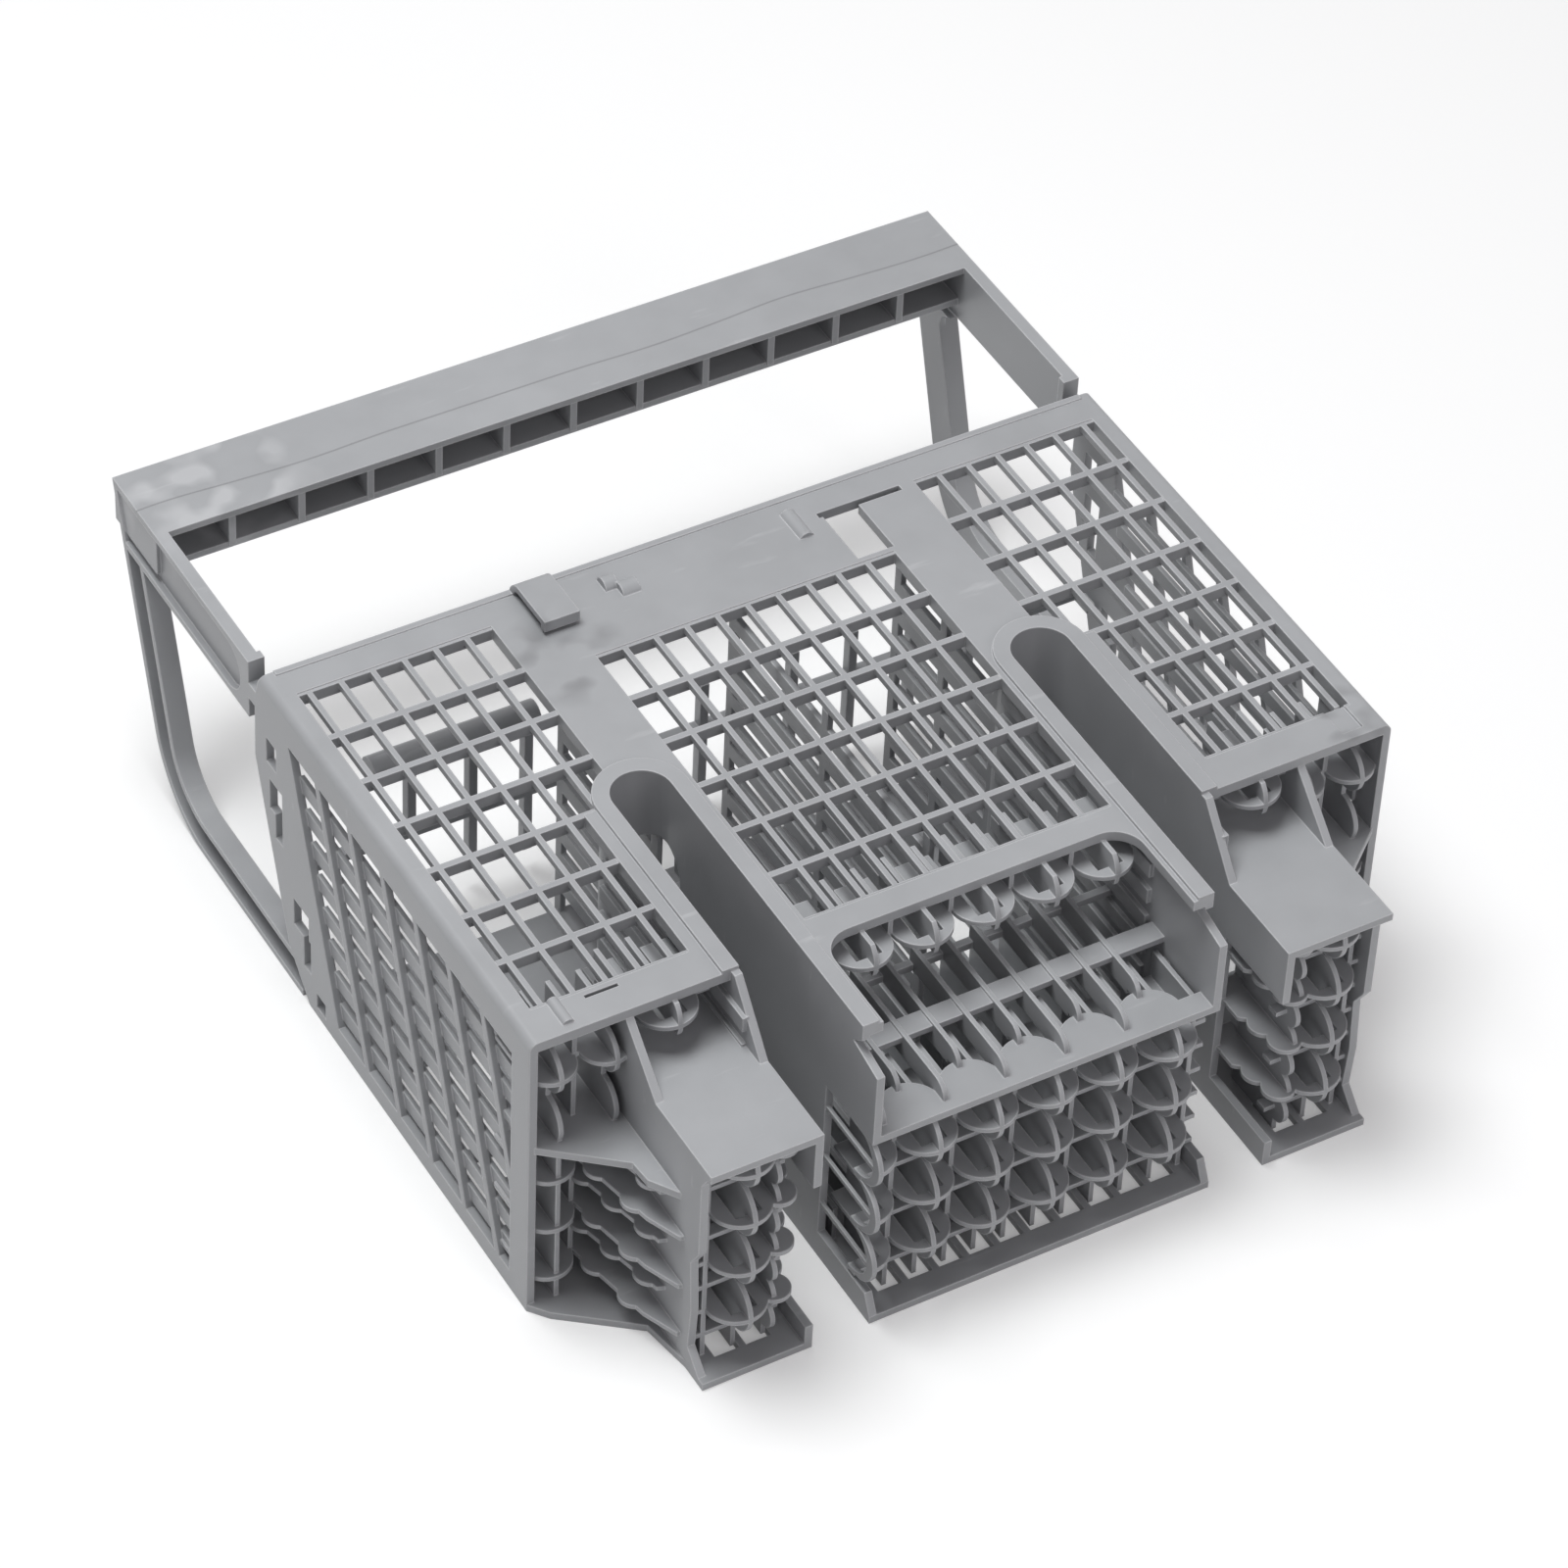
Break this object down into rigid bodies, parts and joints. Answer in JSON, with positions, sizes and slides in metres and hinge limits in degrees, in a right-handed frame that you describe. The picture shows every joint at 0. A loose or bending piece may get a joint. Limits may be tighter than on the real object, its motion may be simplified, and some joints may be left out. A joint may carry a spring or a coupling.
{
  "type": "dishwasher cutlery basket",
  "caption": "Moulded plastic cutlery basket for a dishwasher, lying on its back, with grille walls, slotted legs, a fin lattice at its feet and a handle with side arms.",
  "frame": {"origin": "bottom centre of the bounding box, on the plane the back wall lies on", "axes": "+X across the basket to its right seen from the front grille with the handle up, +Y from the feet to the handle, +Z from the back wall to the front grille"},
  "size_m": [0.242, 0.2706, 0.0969],
  "materials": {
    "grey_plastic": "satin"
  },
  "bodies": {
    "root": {"basket": "grey_plastic"}
  },
  "joints": []
}
